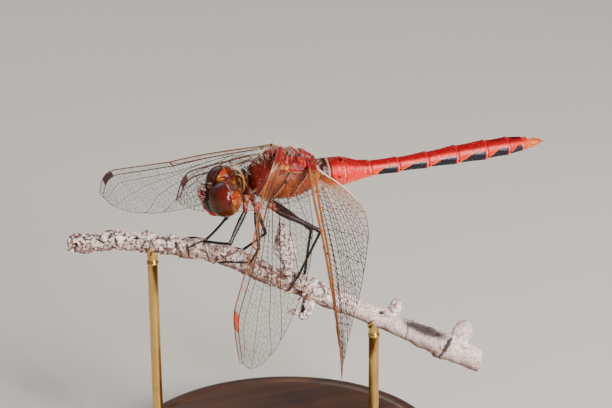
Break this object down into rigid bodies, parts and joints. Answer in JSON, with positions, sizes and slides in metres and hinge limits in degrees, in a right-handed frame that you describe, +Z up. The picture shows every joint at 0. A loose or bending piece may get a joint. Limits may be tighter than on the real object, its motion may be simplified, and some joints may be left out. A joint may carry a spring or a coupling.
{
  "type": "dragonfly model",
  "caption": "Life-size red male meadowhawk dragonfly, wings drooped forward, gripping a short cut twig held over a round base by slim rods.",
  "frame": {"origin": "middle of the underside of the stand's round base", "axes": "+Z up; the head points to -X and the tail to +X; the insect's left side is -Y"},
  "size_m": [0.0439, 0.0456, 0.0316],
  "materials": {
    "red_cuticle": "satin vivid red insect cuticle",
    "dark_red_cuticle": "satin brown-red cuticle with fine hairs",
    "amber_cuticle": "satin orange-amber cuticle",
    "black_cuticle": "glossy black cuticle",
    "compound_eye": "glossy red-brown compound eye",
    "wing_membrane": "clear brownish membrane with dark veins",
    "bark": "dry weathered bark",
    "stand_wood": "dark turned wood, oiled",
    "stand_brass": "drawn brass rod"
  },
  "bodies": {
    "root": {"abdomen_01": "red_cuticle", "abdomen_02": "red_cuticle", "abdomen_03": "red_cuticle", "abdomen_04": "red_cuticle", "abdomen_05": "red_cuticle", "abdomen_06": "red_cuticle", "abdomen_07": "red_cuticle", "abdomen_08": "red_cuticle", "abdomen_09": "red_cuticle", "abdomen_10": "red_cuticle", "antenna_left": "black_cuticle", "antenna_right": "black_cuticle", "cercus_left": "amber_cuticle", "cercus_right": "amber_cuticle", "epiproct": "amber_cuticle", "eye_left": "compound_eye", "eye_right": "compound_eye", "forewing_left": "wing_membrane", "forewing_right": "wing_membrane", "frons": "red_cuticle", "head": "dark_red_cuticle", "hindwing_left": "wing_membrane", "hindwing_right": "wing_membrane", "labium": "amber_cuticle", "labrum": "amber_cuticle", "leg_fore_left_coxa": "amber_cuticle", "leg_fore_left_femur": "black_cuticle", "leg_fore_left_tarsus": "black_cuticle", "leg_fore_left_tibia": "black_cuticle", "leg_fore_right_coxa": "amber_cuticle", "leg_fore_right_femur": "black_cuticle", "leg_fore_right_tarsus": "black_cuticle", "leg_fore_right_tibia": "black_cuticle", "leg_hind_left_coxa": "amber_cuticle", "leg_hind_left_femur": "black_cuticle", "leg_hind_left_tarsus": "black_cuticle", "leg_hind_left_tibia": "black_cuticle", "leg_hind_right_coxa": "amber_cuticle", "leg_hind_right_femur": "black_cuticle", "leg_hind_right_tarsus": "black_cuticle", "leg_hind_right_tibia": "black_cuticle", "leg_mid_left_coxa": "amber_cuticle", "leg_mid_left_femur": "black_cuticle", "leg_mid_left_tarsus": "black_cuticle", "leg_mid_left_tibia": "black_cuticle", "leg_mid_right_coxa": "amber_cuticle", "leg_mid_right_femur": "black_cuticle", "leg_mid_right_tarsus": "black_cuticle", "leg_mid_right_tibia": "black_cuticle", "neck": "black_cuticle", "perch_bud": "bark", "perch_knob_lower": "bark", "perch_knob_upper": "bark", "perch_stub": "bark", "perch_twig": "bark", "prothorax": "amber_cuticle", "stand_base": "stand_wood", "stand_rod_front": "stand_brass", "stand_rod_rear": "stand_brass", "thorax": "dark_red_cuticle"}
  },
  "joints": []
}
